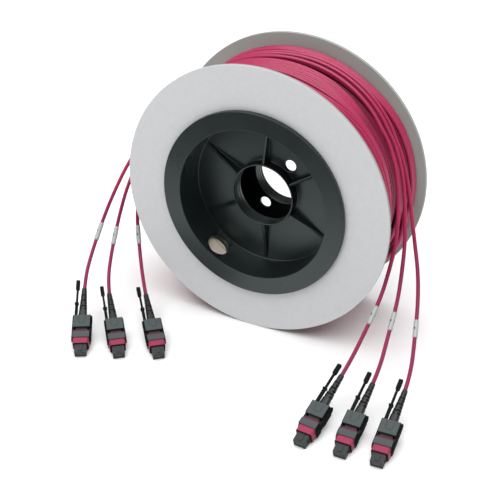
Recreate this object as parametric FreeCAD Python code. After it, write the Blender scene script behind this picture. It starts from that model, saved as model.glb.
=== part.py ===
import FreeCAD, Part
import math
import os

# Fibre optic trunk cable, wound on its shipping spool, with three plugs on each end.
# Millimetres, +Z up. The spool stands on its two boards, its axis along Y.
# The origin is on the floor, below the middle of the spool.

V = FreeCAD.Vector

# Spool boards: two round boards, held by the rims of the core halves
board_radius = 110.0
board_thickness = 3.0
spool_width = 83.0  # over the outer faces of the two boards

# Core halves: moulded cups with a rim, a web, ribs and a collar, one in each end of the tube
barrel_radius = 65.0
barrel_wall = 3.6
rim_lip = 11.0  # how far the rim reaches over the board
rim_proud = 4.0
well_depth = 25.0  # from the board's outer face to the web
web_thickness = 3.0
bore_radius = 24.5
collar_wall = 1.3
collar_height = 8.5
rib_count = 6
rib_thickness = 2.2
rib_first_angle = 30.0
rib_collar_drop = 1.0  # below the collar's end
rib_toe_gap = 0.6  # between a rib's low end and the well's wall
drive_hole_radius = 4.7
drive_hole_offset = 32.0
drive_hole_angle = 53.0
peep_hole_radius = 9.0
peep_hole_depth = 9.6
peep_hole_angle = -125.6
rear_core_turn = 113.0

# Card tube over both core halves, and the winding on it
core_fit = 0.2
tube_wall = 3.0
winding_radius = 100.0  # over the top layer of turns
winding_sides = 32  # flats round the winding
winding_gap = 0.3  # to each board
turn_pitch = 3.3
turn_bands = [(0.0, 0.29), (0.31, 0.54), (0.62, 1.0)]  # where turns lie side by side, in shares of the width
band_depth = 5.0  # of the gaps between these bands

# Cable legs and their marker sleeves
cable_diameter = 3.0
cable_sides = 6
dip_depth = 1.5  # how far a leg's first point lies under the winding's surface
lie_height = 2.0  # how far its next points lie over it
straight_tail = 12.0  # how far a leg runs straight out of its boot
tail_run = 21.0
marker_length = 15.5
marker_from_boot = 54.0
marker_clearance = 0.5
marker_wall = 0.35

# Plug, all stations measured back from the nose's tip
nose_width = 9.6
nose_height = 6.6
nose_taper = 0.5
nose_length = 9.8
housing_width = 8.6
housing_height = 6.0
housing_length = 27.0
key_width = 3.0
key_height = 0.8
key_front = 1.2
key_length = 5.4
notch_front = 3.6
notch_length = 2.4
notch_depth = 0.8
notch_height = 3.2
ferrule_width = 6.4
ferrule_height = 2.5
ferrule_front = 0.3
shoulder_width = 7.1
shoulder_height = 3.8
shoulder_length = 2.7
chamber_front = 10.0
chamber_width = 7.6
chamber_height = 4.4
sliding_gap = 0.3

# Ferrule spring: a flat-sided coil, six straights to a turn
spring_wire = 0.5
spring_width = 6.6
spring_height = 3.4
spring_turns = 2
spring_sides = 6
spring_gap = 0.2

# Back post: plug block, flange against the housing, and the crimp stem in the boot
post_front = 20.0
post_flange = 2.0
stem_radius = 2.2
crimp_back = 44.0

# Coupling sleeve
sleeve_front = 7.4
sleeve_length = 13.2
sleeve_width = 12.4
sleeve_height = 9.2
sleeve_bevel = 1.1
mouth_gap = 0.4
mouth_depth = 3.0

# Pull clip: bar over the sleeve, window, rear block, two rails and the tab
clip_fit = 0.1
clip_side_wall = 0.6
clip_top_wall = 0.85
bar_front = 13.1
bar_length = 4.1
window_length = 7.1
block_length = 9.8
rail_front = 12.3
rail_overhang = 2.3
rail_thickness = 1.3
rail_height = 4.8
rail_bevel = 1.4
tab_thick = 2.2
tab_thick_length = 15.2
tab_thin = 1.6
tab_thin_length = 14.0
tab_up = 1.2
bump_width = 3.2
bump_height = 2.6
bump_length = 1.5
neck_length = 1.4
head_width = 3.0
head_height = 2.6
head_length = 8.4

# Boot: a collar inside the clip's block, then a grooved taper
boot_front = 30.0
boot_taper_front = 35.0
boot_back = 64.7
boot_base_width = 7.0
boot_base_height = 5.8
boot_end_width = 4.2
boot_end_height = 4.2
boot_fit = 0.1
cable_fit = 0.2
groove_count = 3
groove_first = 11.0
groove_pitch = 5.6
groove_width = 1.8
groove_depth = 0.3

# Each end: where the nose's tip touches the floor, its heading from +X, its slope, the angles and Y
# of the points on the winding, and the points of the free leg down to the boot
ends = {
    "left_1": (V(-98.6, -142, 0), -60.3, 19.5,
               [(143, -5)],
               [V(-106, -5, 142), V(-129, -10, 108), V(-139, -22, 81), V(-142, -38, 60), V(-140, -60, 40)]),
    "left_2": (V(-70.7, -130.1, 0), -50.8, 16.0,
               [(148, -12)],
               [V(-109, -13, 130), V(-127, -16, 92), V(-131, -27, 67), V(-127, -50, 40)]),
    "left_3": (V(-42.7, -117.1, 0), -49.8, 16.1,
               [(157, -24)],
               [V(-108, -24, 112), V(-115, -27, 72), V(-106, -40, 45)]),
    "right_1": (V(96.1, -161.9, 0), -95.2, 17.9,
                [(32, 4), (13, 2)],
                [V(106, -10, 93), V(106.5, -24, 73), V(106.5, -40, 56), V(104.5, -61, 41)]),
    "right_2": (V(125, -159.9, 0), -89.7, 16.8,
                [(29, 12), (10, 13)],
                [V(109.5, -1, 89), V(114, -17, 69), V(118, -35, 52), V(120.5, -59, 37.5)]),
    "right_3": (V(150.9, -157.4, 0), -87.4, 16.9,
                [(24, 22), (5, 22)],
                [V(114, 8, 82), V(123, -6, 65.5), V(130.5, -24, 51.5), V(138, -49, 38.5)]),
}

# Sizes that follow from the ones above
spool_centre = V(0, 0, board_radius)
board_front = -spool_width / 2
board_inner = board_front + board_thickness
web_front = board_front + well_depth
web_back = web_front + web_thickness
collar_front = web_front - collar_height
collar_radius = bore_radius + collar_wall
well_radius = barrel_radius - barrel_wall
rim_radius = barrel_radius + rim_lip
tube_inner = barrel_radius + core_fit
tube_outer = tube_inner + tube_wall
block_front = bar_front + bar_length + window_length
block_back = block_front + block_length
clip_inner_width = sleeve_width + 2 * clip_fit
clip_inner_height = sleeve_height + 2 * clip_fit
clip_width = clip_inner_width + 2 * clip_side_wall
clip_height = clip_inner_height + 2 * clip_top_wall
slide_width = housing_width + 2 * sliding_gap
slide_height = housing_height + 2 * sliding_gap
tip_half_height = (nose_height - nose_taper) / 2


# Spool

def turned(outline):
    """Solid turned about the spool's axis from an outline of (radius, y) points."""
    corners = [V(radius, y, 0) for radius, y in outline]
    face = Part.Face(Part.makePolygon(corners + corners[:1]))
    solid = face.revolve(V(0, 0, 0), V(0, 1, 0), 360)
    solid.translate(spool_centre)
    return solid


def turned_by(shape, angle):
    """Copy turned about the spool's axis, from +X towards +Z."""
    copy = shape.copy()
    copy.rotate(spool_centre, V(0, -1, 0), angle)
    return copy


def board(outer_face, inner_face):
    hole = barrel_radius + core_fit
    return turned([
        (hole, outer_face), (board_radius, outer_face), (board_radius, inner_face), (hole, inner_face),
    ])


def core_rib():
    """Triangular rib, tall at the collar and low at the well's wall, lying along +X."""
    root = collar_radius - collar_wall / 2
    toe = well_radius - rib_toe_gap
    sunk = web_front + web_thickness / 2
    outline = [(root, sunk), (root, collar_front + rib_collar_drop), (toe, web_front), (toe, sunk)]
    corners = [V(radius, y, -rib_thickness / 2) for radius, y in outline]
    rib = Part.Face(Part.makePolygon(corners + corners[:1])).extrude(V(0, 0, rib_thickness))
    rib.translate(spool_centre)
    return rib


def core_half():
    """The front half: rim, well, web with collar and ribs, drive hole and the hole in the barrel."""
    rim_front = board_front - rim_proud
    half = turned([
        (well_radius, rim_front),
        (rim_radius, rim_front),
        (rim_radius, board_front),
        (barrel_radius, board_front),
        (barrel_radius, web_back),
        (bore_radius, web_back),
        (bore_radius, collar_front),
        (collar_radius, collar_front),
        (collar_radius, web_front),
        (well_radius, web_front),
    ])
    rib = core_rib()
    for i in range(rib_count):
        half = half.fuse(turned_by(rib, rib_first_angle + i * 360 / rib_count))
    drive_start = V(drive_hole_offset, collar_front, board_radius)
    drive_length = collar_height + 2 * web_thickness
    drive_hole = Part.makeCylinder(drive_hole_radius, drive_length, drive_start, V(0, 1, 0))
    half = half.cut(turned_by(drive_hole, drive_hole_angle))
    peep_start = V(collar_radius, board_front + peep_hole_depth, board_radius)
    peep_hole = Part.makeCylinder(peep_hole_radius, barrel_radius - collar_radius + 1, peep_start, V(1, 0, 0))
    half = half.cut(turned_by(peep_hole, peep_hole_angle))
    return half.removeSplitter()


def on_winding(angle, radius, y):
    turn = math.radians(angle)
    return V(radius * math.cos(turn), y, board_radius + radius * math.sin(turn))


def winding():
    """All the turns on the tube as one body in flats, with a ridge for each turn of the top layer."""
    inner = (tube_outer + core_fit) / math.cos(math.pi / winding_sides)
    valley = winding_radius - cable_diameter / 2
    front = board_inner + winding_gap
    width = -2 * front
    outline = [(inner, front)]
    for band_start, band_end in turn_bands:
        turns = int(width * (band_end - band_start) / turn_pitch)
        step = width * (band_end - band_start) / turns
        if band_start > 0:
            outline.append((winding_radius - band_depth, front + width * band_start))
        outline.append((valley, front + width * band_start))
        for i in range(turns):
            outline.append((winding_radius, front + width * band_start + (i + 0.5) * step))
            outline.append((valley, front + width * band_start + (i + 1) * step))
        if band_end < 1:
            outline.append((winding_radius - band_depth, front + width * band_end))
    outline.append((inner, -front))
    faces = []
    for i in range(winding_sides):
        angles = [360 / winding_sides * i, 360 / winding_sides * (i + 1)]
        for first, second in zip(outline, outline[1:] + outline[:1]):
            corners = [on_winding(angles[0], *first), on_winding(angles[0], *second)]
            corners += [on_winding(angles[1], *second), on_winding(angles[1], *first)]
            faces.append(Part.Face(Part.makePolygon(corners + corners[:1])))
    shell = Part.makeShell(faces)
    shell.sewShape()
    return Part.makeSolid(shell)


# Cable legs

def leg_route(place, wound, free):
    """Route of a leg: a dip into the winding, over its surface, free down to the boot and into it."""
    radii = [winding_radius - dip_depth] + [winding_radius + lie_height] * (len(wound) - 1)
    points = [on_winding(angle, radius, y) for (angle, y), radius in zip(wound, radii)] + free
    for station in (boot_back + straight_tail, boot_back + straight_tail - tail_run):
        points.append(place.multVec(V(-station, 0, 0)))
    return points


def leg_path(points, last):
    """Straight runs joined by tangent arcs, carried straight on to the last point."""
    edges = []
    radii = []
    start = points[0]
    for before, corner, after in zip(points, points[1:], points[2:]):
        come = (corner - before).normalize()
        leave = (after - corner).normalize()
        half_turn = come.getAngle(leave) / 2
        reach = 0.45 * min(before.distanceToPoint(corner), corner.distanceToPoint(after))
        radius = reach / math.tan(half_turn)
        inward = (leave - come).normalize()
        arc_start = corner - come * reach
        arc_end = corner + leave * reach
        arc_middle = corner + inward * (radius / math.cos(half_turn) - radius)
        edges.append(Part.LineSegment(start, arc_start).toShape())
        edges.append(Part.Arc(arc_start, arc_middle, arc_end).toShape())
        radii.append(round(radius))
        start = arc_end
    edges.append(Part.LineSegment(start, last).toShape())
    return edges, radii


def leg_solid(edges):
    """The cable's jacket, with flats that enclose the round section's area."""
    path = Part.Wire(edges)
    start = edges[0].valueAt(edges[0].FirstParameter)
    along = edges[0].tangentAt(edges[0].FirstParameter)
    across = along.cross(V(0, 1, 0)).normalize()
    third = along.cross(across)
    step = 2 * math.pi / cable_sides
    section_area = math.pi * cable_diameter ** 2 / 4
    corner_radius = math.sqrt(2 * section_area / (cable_sides * math.sin(step)))
    corners = []
    for i in range(cable_sides):
        corners.append(start + (across * math.cos(i * step) + third * math.sin(i * step)) * corner_radius)
    section = Part.makePolygon(corners + corners[:1])
    solid = path.makePipeShell([section], True, False)
    return solid, section_area * path.Length


def marker_sleeve(edges, place):
    """Printed sleeve on the leg, a set way behind the boot."""
    left = marker_from_boot
    position = edges[-1].valueAt(edges[-1].LastParameter)
    left += place.multVec(V(-boot_back, 0, 0)).distanceToPoint(position)
    for edge in reversed(edges):
        if left <= edge.Length:
            at = edge.getParameterByLength(edge.Length - left)
            middle = edge.valueAt(at)
            along = edge.tangentAt(at)
            break
        left -= edge.Length
    inner = cable_diameter / 2 + marker_clearance
    sleeve = rod(-marker_length / 2, marker_length / 2, inner + marker_wall)
    sleeve = sleeve.cut(rod(-marker_length / 2, marker_length / 2, inner))
    sleeve.Placement = FreeCAD.Placement(middle, FreeCAD.Rotation(V(1, 0, 0), along))
    return sleeve


# Plug pieces, in the plug's own frame: nose tip at the origin, pointing along +X, key up

def slab(front, back, width, height, side=0.0, up=0.0):
    """Block across the plug's axis, between two stations behind the nose's tip."""
    return Part.makeBox(back - front, width, height, V(-back, side - width / 2, up - height / 2))


def prism(front, back, outline):
    """Solid along the plug's axis with an outline of (y, z) points."""
    corners = [V(-back, y, z) for y, z in outline]
    return Part.Face(Part.makePolygon(corners + corners[:1])).extrude(V(back - front, 0, 0))


def rod(front, back, radius):
    """Rod or hole along the plug's axis, with eight flats at its radius."""
    corner = radius / math.cos(math.pi / 8)
    turns = [math.pi * (2 * i + 1) / 8 for i in range(8)]
    return prism(front, back, [(corner * math.cos(turn), corner * math.sin(turn)) for turn in turns])


def bevelled(front, back, width, height, bevel):
    """Block with its four long edges bevelled."""
    y, z = width / 2, height / 2
    a, b = y - bevel, z - bevel
    return prism(front, back, [(a, -z), (y, -b), (y, b), (a, z), (-a, z), (-y, b), (-y, -b), (-a, -z)])


def tapered(front, front_size, back, back_size, side=0.0, up=0.0):
    """Block whose section changes from one (width, height) to another."""
    y1, z1 = front_size[0] / 2, front_size[1] / 2
    y2, z2 = back_size[0] / 2, back_size[1] / 2
    low = (side - y1, front, up - z1, up - z2, side - y2)
    high = (side + y1, back, up + z1, up + z2, side + y2)
    wedge = Part.makeWedge(*low, *high)
    wedge.rotate(V(0, 0, 0), V(0, 0, 1), 90)
    return wedge


def plug_housing():
    """Inner housing: tapered nose with key and latch notches, and a slim body inside the sleeve."""
    tip = (nose_width - nose_taper, nose_height - nose_taper)
    nose = tapered(0, tip, nose_length, (nose_width, nose_height))
    body = slab(nose_length - 1, housing_length, housing_width, housing_height)
    sunk = nose_taper
    key = slab(key_front, key_front + key_length, key_width, key_height + sunk,
               up=tip_half_height + (key_height - sunk) / 2)
    housing = nose.fuse([body, key])
    slot = slab(-1, chamber_front + 1, ferrule_width + sliding_gap, ferrule_height + sliding_gap)
    chamber = slab(chamber_front, housing_length + 1, chamber_width, chamber_height)
    housing = housing.cut(slot.fuse(chamber))
    for side in (-1, 1):
        middle = side * nose_width / 2
        notch = slab(notch_front, notch_front + notch_length, 2 * notch_depth, notch_height, side=middle)
        housing = housing.cut(notch)
    return housing.removeSplitter()


def ferrule():
    """Fibre-carrying block in the nose, with the shoulder that its spring pushes on."""
    back = chamber_front + sliding_gap + shoulder_length
    tongue = slab(ferrule_front, back, ferrule_width, ferrule_height)
    shoulder = slab(chamber_front + sliding_gap, back, shoulder_width, shoulder_height)
    return tongue.fuse(shoulder).removeSplitter()


def ferrule_spring():
    """Flat-sided coil between the ferrule's shoulder and the back post."""
    front = chamber_front + sliding_gap + shoulder_length + spring_gap + spring_wire / 2
    back = post_front - spring_gap - spring_wire / 2
    half_width = (spring_width - spring_wire) / 2
    half_height = (spring_height - spring_wire) / 2
    steps = spring_turns * spring_sides
    points = []
    for i in range(steps + 1):
        turn = 2 * math.pi * i / spring_sides
        station = front + (back - front) * i / steps
        points.append(V(-station, half_width * math.cos(turn), half_height * math.sin(turn)))
    first, second = points[0], points[1]
    along = (second - first).normalize()
    across = V(1, 0, 0).cross(along).normalize()
    third = along.cross(across)
    half = spring_wire / 2
    signs = ((1, 1), (-1, 1), (-1, -1), (1, -1))
    corners = [first + across * (a * half) + third * (b * half) for a, b in signs]
    section = Part.makePolygon(corners + corners[:1])
    return Part.makePolygon(points).makePipeShell([section], True, False, 1)


def back_post():
    """Post that closes the housing: block in the chamber, flange, and hollow stem for the crimp."""
    fit = sliding_gap / 2
    block = slab(post_front, housing_length, chamber_width - 2 * fit, chamber_height - 2 * fit)
    flange = slab(housing_length, housing_length + post_flange, housing_width, housing_height)
    stem_front = housing_length + post_flange
    stem = rod(stem_front, crimp_back, stem_radius)
    return block.fuse([flange, stem]).removeSplitter()


def coupling_sleeve():
    """Sliding outer sleeve, with a wider mouth round the nose."""
    back = sleeve_front + sleeve_length
    sleeve = bevelled(sleeve_front, back, sleeve_width, sleeve_height, sleeve_bevel)
    passage = slab(sleeve_front - 1, back + 1, slide_width, slide_height)
    mouth_size = (nose_width + 2 * mouth_gap, nose_height + 2 * mouth_gap)
    mouth = slab(sleeve_front - 1, sleeve_front + mouth_depth, *mouth_size)
    return sleeve.cut(passage.fuse(mouth)).removeSplitter()


def clip_rail(side):
    """Rail along one side of the clip, with its ends bevelled."""
    inner = side * clip_inner_width / 2
    back = block_back + rail_overhang
    half = rail_height / 2
    low = half - rail_bevel
    outline = [
        (-back, -low), (-back + rail_bevel, -half), (-rail_front - rail_bevel, -half), (-rail_front, -low),
        (-rail_front, low), (-rail_front - rail_bevel, half), (-back + rail_bevel, half), (-back, low),
    ]
    corners = [V(x, inner, z) for x, z in outline]
    return Part.Face(Part.makePolygon(corners + corners[:1])).extrude(V(0, side * rail_thickness, 0))


def pull_tab():
    """Strut behind the clip's corner: thick root, cross bump, thin run and a gripping head."""
    side = -(clip_inner_width - tab_thick) / 2
    thick_back = block_back + tab_thick_length
    thin_back = thick_back + tab_thin_length
    bump_front = thick_back - bump_length
    root = slab(block_back - 1, thick_back, tab_thick, tab_thick, side, tab_up)
    bump = slab(bump_front, thick_back, bump_width, bump_height, side, tab_up)
    run = slab(thick_back - 1, thin_back, tab_thin, tab_thin, side, tab_up)
    neck_front = thin_back - neck_length
    neck = tapered(neck_front, (tab_thin, tab_thin), thin_back, (head_width, head_height), side, tab_up)
    head = slab(thin_back, thin_back + head_length, head_width, head_height, side, tab_up)
    return [root, bump, run, neck, head]


def pull_clip():
    """Clip snapped round the sleeve: bar, window, rear block, side rails and pull tab in one moulding."""
    bar = slab(bar_front, bar_front + bar_length, clip_width, clip_height)
    bar = bar.cut(slab(bar_front - 1, bar_front + bar_length + 1, clip_inner_width, clip_inner_height))
    block = slab(block_front, block_back, clip_width, clip_height)
    block = block.cut(slab(block_front - 1, block_back + 1, slide_width, slide_height))
    clip = block.fuse([bar, clip_rail(-1), clip_rail(1)] + pull_tab())
    return clip.removeSplitter()


def boot():
    """Strain-relief boot: collar over the crimp stem, then a taper with ring grooves."""
    base = (boot_base_width, boot_base_height)
    end = (boot_end_width, boot_end_height)
    collar = slab(boot_front, boot_taper_front, boot_base_width, boot_base_height)
    shape = collar.fuse(tapered(boot_taper_front, base, boot_back, end))
    for i in range(groove_count):
        front = boot_taper_front + groove_first + i * groove_pitch
        share = (front + groove_width - boot_taper_front) / (boot_back - boot_taper_front)
        width, height = [a + (b - a) * share - 2 * groove_depth for a, b in zip(base, end)]
        ring = slab(front, front + groove_width, 2 * boot_base_width, 2 * boot_base_height)
        shape = shape.cut(ring.cut(slab(front - 1, front + groove_width + 1, width, height)))
    stem_hole = rod(boot_front, crimp_back, stem_radius + boot_fit)
    cable_hole = rod(boot_front, boot_back, cable_diameter / 2 + cable_fit)
    return shape.cut(stem_hole.fuse(cable_hole)).removeSplitter()


def plug_place(tip, heading, slope):
    """Placement that rests the nose's lower edge on the floor, with the boot raised."""
    turn = FreeCAD.Rotation(V(0, 0, 1), heading).multiply(FreeCAD.Rotation(V(0, 1, 0), slope))
    height = tip_half_height * math.cos(math.radians(slope))
    return FreeCAD.Placement(V(tip.x, tip.y, height), turn)


def save(name, shape):
    shape.exportStep(f"parts/{name}.step")
    print(f"{name}: valid {shape.isValid()}, solids {len(shape.Solids)}, volume {shape.Volume:.1f}")


os.makedirs("parts", exist_ok=True)

front_core = core_half()
rear_core = front_core.copy()
rear_core.rotate(spool_centre, V(0, 0, 1), 180)
save("front_board", board(board_front, board_inner))
save("rear_board", board(-board_inner, -board_front))
save("front_core", front_core)
save("rear_core", turned_by(rear_core, rear_core_turn))
save("card_tube", turned([
    (tube_inner, board_inner), (tube_outer, board_inner),
    (tube_outer, -board_inner), (tube_inner, -board_inner),
]))
save("cable_winding", winding())

plug_pieces = {
    "plug_housing": plug_housing(),
    "ferrule": ferrule(),
    "ferrule_spring": ferrule_spring(),
    "back_post": back_post(),
    "coupling_sleeve": coupling_sleeve(),
    "pull_clip": pull_clip(),
    "boot": boot(),
}
for end, (tip, heading, slope, wound, free) in ends.items():
    place = plug_place(tip, heading, slope)
    route = leg_route(place, wound, free)
    edges, radii = leg_path(route, place.multVec(V(-crimp_back, 0, 0)))
    leg, expected = leg_solid(edges)
    print(f"{end} bend radii {radii}, volume over section times length {leg.Volume / expected:.4f}")
    save(f"{end}_leg", leg)
    save(f"{end}_marker", marker_sleeve(edges, place))
    for piece, shape in plug_pieces.items():
        placed = shape.copy()
        placed.Placement = place
        save(f"{end}_{piece}", placed)
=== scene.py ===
import math

import bmesh
import bpy
from mathutils import Euler, Matrix, Vector


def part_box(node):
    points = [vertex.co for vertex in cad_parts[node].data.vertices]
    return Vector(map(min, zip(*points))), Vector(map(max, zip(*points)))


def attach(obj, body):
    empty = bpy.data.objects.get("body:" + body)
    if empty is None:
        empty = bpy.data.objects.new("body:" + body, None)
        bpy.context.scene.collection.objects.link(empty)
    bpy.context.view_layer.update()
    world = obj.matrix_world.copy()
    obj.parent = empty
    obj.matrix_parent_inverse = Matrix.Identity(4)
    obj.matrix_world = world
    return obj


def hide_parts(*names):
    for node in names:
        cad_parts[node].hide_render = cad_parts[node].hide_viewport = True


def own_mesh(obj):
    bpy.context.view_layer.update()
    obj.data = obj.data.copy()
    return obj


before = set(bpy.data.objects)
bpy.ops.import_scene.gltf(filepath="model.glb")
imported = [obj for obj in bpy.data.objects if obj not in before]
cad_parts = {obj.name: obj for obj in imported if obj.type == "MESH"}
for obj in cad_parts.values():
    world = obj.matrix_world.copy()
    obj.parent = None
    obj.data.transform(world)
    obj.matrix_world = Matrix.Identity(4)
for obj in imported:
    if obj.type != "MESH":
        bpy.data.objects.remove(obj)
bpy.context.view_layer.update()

# Spool boards: two round discs cut from pale layered board, each with a centre hole.
# Smooth paper is glued on the outer faces, bare grey pulp shows inside, and the core rims hold them.
board_low, board_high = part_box("front_board")
board_radius = (board_high.x - board_low.x) / 2
board_face = -board_low.y
board_inner = -board_high.y
board_hole_radius = 0.0665
board_rounding = 0.0004
board_layers_per_metre = 2400.0


def new_material(name):
    """Empty material with its node tree and its Principled shader."""
    material = bpy.data.materials.new(name)
    material.use_nodes = True
    shader = material.node_tree.nodes["Principled BSDF"]
    return material, material.node_tree, shader


def wire(tree, source, target):
    tree.links.new(source, target)


def feed(tree, socket, value):
    """Gives a socket the value of another socket, or a plain number."""
    if isinstance(value, bpy.types.NodeSocket):
        wire(tree, value, socket)
    else:
        socket.default_value = value


def add_node(tree, kind, **settings):
    node = tree.nodes.new(kind)
    for key, value in settings.items():
        setattr(node, key, value)
    return node


def reckon(tree, operation, *values):
    """Result of one sum on sockets or plain numbers."""
    node = add_node(tree, "ShaderNodeMath", operation=operation)
    for socket, value in zip(node.inputs, values):
        feed(tree, socket, value)
    return node.outputs[0]


def blend(tree, share, first, second):
    """Colour between two others, each a socket or plain numbers."""
    node = add_node(tree, "ShaderNodeMix", data_type="RGBA")
    wire(tree, share, node.inputs["Factor"])
    for label, value in (("A", first), ("B", second)):
        if isinstance(value, tuple):
            value = (*value, 1)
        feed(tree, node.inputs[label], value)
    return node.outputs["Result"]


def axes_of(tree, kind="Object"):
    """The coordinates of a point on the surface, one by one."""
    coords = add_node(tree, "ShaderNodeTexCoord")
    split = add_node(tree, "ShaderNodeSeparateXYZ")
    wire(tree, coords.outputs[kind], split.inputs[0])
    return split.outputs


def noise_at(tree, vector, scale, detail):
    """Noise at a place, finer the larger its scale."""
    noise = add_node(tree, "ShaderNodeTexNoise")
    wire(tree, vector, noise.inputs["Vector"])
    feed(tree, noise.inputs["Scale"], scale)
    noise.inputs["Detail"].default_value = detail
    return noise.outputs["Fac"]


def fine_grain_group():
    """Fine grain from Object coordinates: a height for bump, patches of tone and an uneven roughness."""
    group = bpy.data.node_groups.new("fine grain", "ShaderNodeTree")
    face = group.interface
    face.new_socket("Vector", in_out="INPUT", socket_type="NodeSocketVector")
    for label, value in (("Grains per metre", 4000.0), ("Roughness", 0.5), ("Roughness spread", 0.15)):
        face.new_socket(label, in_out="INPUT", socket_type="NodeSocketFloat").default_value = value
    for label in ("Height", "Roughness", "Patches"):
        face.new_socket(label, in_out="OUTPUT", socket_type="NodeSocketFloat")
    given = add_node(group, "NodeGroupInput").outputs
    outside = add_node(group, "NodeGroupOutput")
    grain = noise_at(group, given["Vector"], scale=given["Grains per metre"], detail=3.0)
    patches = noise_at(group, given["Vector"], scale=35.0, detail=4.0)
    uneven = reckon(group, "SUBTRACT", patches, 0.5)
    uneven = reckon(group, "MULTIPLY_ADD", uneven, given["Roughness spread"], given["Roughness"])
    wire(group, grain, outside.inputs["Height"])
    wire(group, uneven, outside.inputs["Roughness"])
    wire(group, patches, outside.inputs["Patches"])
    return group


fine_grain = fine_grain_group()


def grained(name, dark, light, roughness, grains, depth, gloss=0.5):
    """Material whose colour drifts between two tones in patches, with a fine grain in its surface."""
    material, tree, shader = new_material(name)
    shader.inputs["Specular IOR Level"].default_value = gloss
    coords = add_node(tree, "ShaderNodeTexCoord")
    grain = add_node(tree, "ShaderNodeGroup", node_tree=fine_grain)
    grain.inputs["Grains per metre"].default_value = grains
    grain.inputs["Roughness"].default_value = roughness
    grain.inputs["Roughness spread"].default_value = 0.15
    tone = blend(tree, grain.outputs["Patches"], dark, light)
    bump = add_node(tree, "ShaderNodeBump")
    bump.inputs["Strength"].default_value = 0.6
    bump.inputs["Distance"].default_value = depth
    wire(tree, coords.outputs["Object"], grain.inputs["Vector"])
    wire(tree, tone, shader.inputs["Base Color"])
    wire(tree, grain.outputs["Roughness"], shader.inputs["Roughness"])
    wire(tree, grain.outputs["Height"], bump.inputs["Height"])
    wire(tree, bump.outputs["Normal"], shader.inputs["Normal"])
    return material, tree, shader, tone


def board_material():
    """Paper on the outer faces, a layered cut edge and bare pulp inside, by the distance along the axle."""
    material, tree, shader, pulp = grained(
        "layered board", (0.30, 0.328, 0.308), (0.352, 0.38, 0.36), 0.8, 900, 0.00025)
    axes = axes_of(tree)
    away = reckon(tree, "ABSOLUTE", axes["Y"])
    layer = reckon(tree, "FRACT", reckon(tree, "MULTIPLY", away, board_layers_per_metre))
    edge = blend(tree, layer, (0.37, 0.38, 0.37), (0.30, 0.31, 0.30))
    coords = add_node(tree, "ShaderNodeTexCoord")
    flecks = noise_at(tree, coords.outputs["Object"], scale=260.0, detail=6.0)
    paper = blend(tree, flecks, (0.49, 0.495, 0.508), (0.55, 0.555, 0.568))
    beyond_pulp = reckon(tree, "GREATER_THAN", away, board_inner + board_rounding)
    beyond_edge = reckon(tree, "GREATER_THAN", away, board_face - board_rounding)
    tone = blend(tree, beyond_edge, blend(tree, beyond_pulp, pulp, edge), paper)
    height = reckon(tree, "SUBTRACT", axes["Z"], board_radius)
    square = reckon(tree, "MULTIPLY_ADD", height, height, reckon(tree, "POWER", axes["X"], 2.0))
    in_hole = reckon(tree, "LESS_THAN", square, board_hole_radius ** 2)
    wire(tree, blend(tree, in_hole, tone, (0.88, 0.87, 0.84)), shader.inputs["Base Color"])
    return material


def dress(node, material):
    """Gives a solid of the frame its finish."""
    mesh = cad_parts[node].data
    mesh.materials.clear()
    mesh.materials.append(material)


def soften(node, width):
    """Rounds the sharp edges of a solid: its triangles are joined, then its edges bevelled."""
    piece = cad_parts[node]
    weld = piece.modifiers.new("joined triangles", "WELD")
    weld.merge_threshold = 0.00001
    bevel = piece.modifiers.new("moulded edges", "BEVEL")
    bevel.width = width
    bevel.segments = 2
    bevel.limit_method = "ANGLE"
    bevel.angle_limit = math.radians(35)
    bevel.use_clamp_overlap = True


layered_board = board_material()
for node in ("front_board", "rear_board"):
    dress(node, layered_board)
    soften(node, board_rounding)

# Card tube: brown card wound in a slanting strip and glued, pushed over both barrels between the boards.
# It carries the winding and shows only through the hole in each barrel; its ends are painted white in a
# narrow band.
tube_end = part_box("card_tube")[1].y
end_band_width = 0.0022
strips_per_metre = 25.0
seam_share = 0.03


def card_material():
    """Brown card with the seams of its slanting strip, and a plain white band at its ends."""
    material, tree, shader, pulp = grained(
        "brown card", (0.52, 0.46, 0.375), (0.62, 0.56, 0.47), 0.85, 700, 0.0003)
    axes = axes_of(tree)
    height = reckon(tree, "SUBTRACT", axes["Z"], board_radius)
    turn = reckon(tree, "ARCTAN2", height, axes["X"])
    strip = reckon(tree, "MULTIPLY", axes["Y"], strips_per_metre)
    lay = reckon(tree, "MULTIPLY_ADD", turn, 1 / math.tau, strip)
    seam = reckon(tree, "LESS_THAN", reckon(tree, "FRACT", lay), seam_share)
    brown = blend(tree, seam, pulp, (0.36, 0.315, 0.255))
    in_end_band = reckon(tree, "GREATER_THAN", reckon(tree, "ABSOLUTE", axes["Y"]), tube_end - end_band_width)
    wire(tree, blend(tree, in_end_band, brown, (0.92, 0.91, 0.88)), shader.inputs["Base Color"])
    return material


dress("card_tube", card_material())

# Core halves: black injection-moulded cups, each with a rim over its board, a web with six ribs,
# and a collar round the arbor's bore. They are pushed into the card tube from both ends.
core_rounding = 0.0006
core_black, _, core_shader, _ = grained(
    "black core plastic", (0.005, 0.0065, 0.0065), (0.009, 0.011, 0.011), 0.30, 5200, 0.00006, gloss=0.68)
core_shader.inputs["Specular Tint"].default_value = (0.84, 1.0, 1.0, 1.0)
for node in ("front_core", "rear_core"):
    dress(node, core_black)
    soften(node, core_rounding)

# Bore rings: three fine steps moulded inside each arbor bore, where the halves are turned on a shaft.
# They are part of the black cores.
core_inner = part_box("front_core")[1].y
bore_radius = 0.0245
ring_count = 3
ring_bar = 0.00045
ring_sunk = 0.0001
ring_pitch = 0.0032
rings_from_inner = 0.0095


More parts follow.
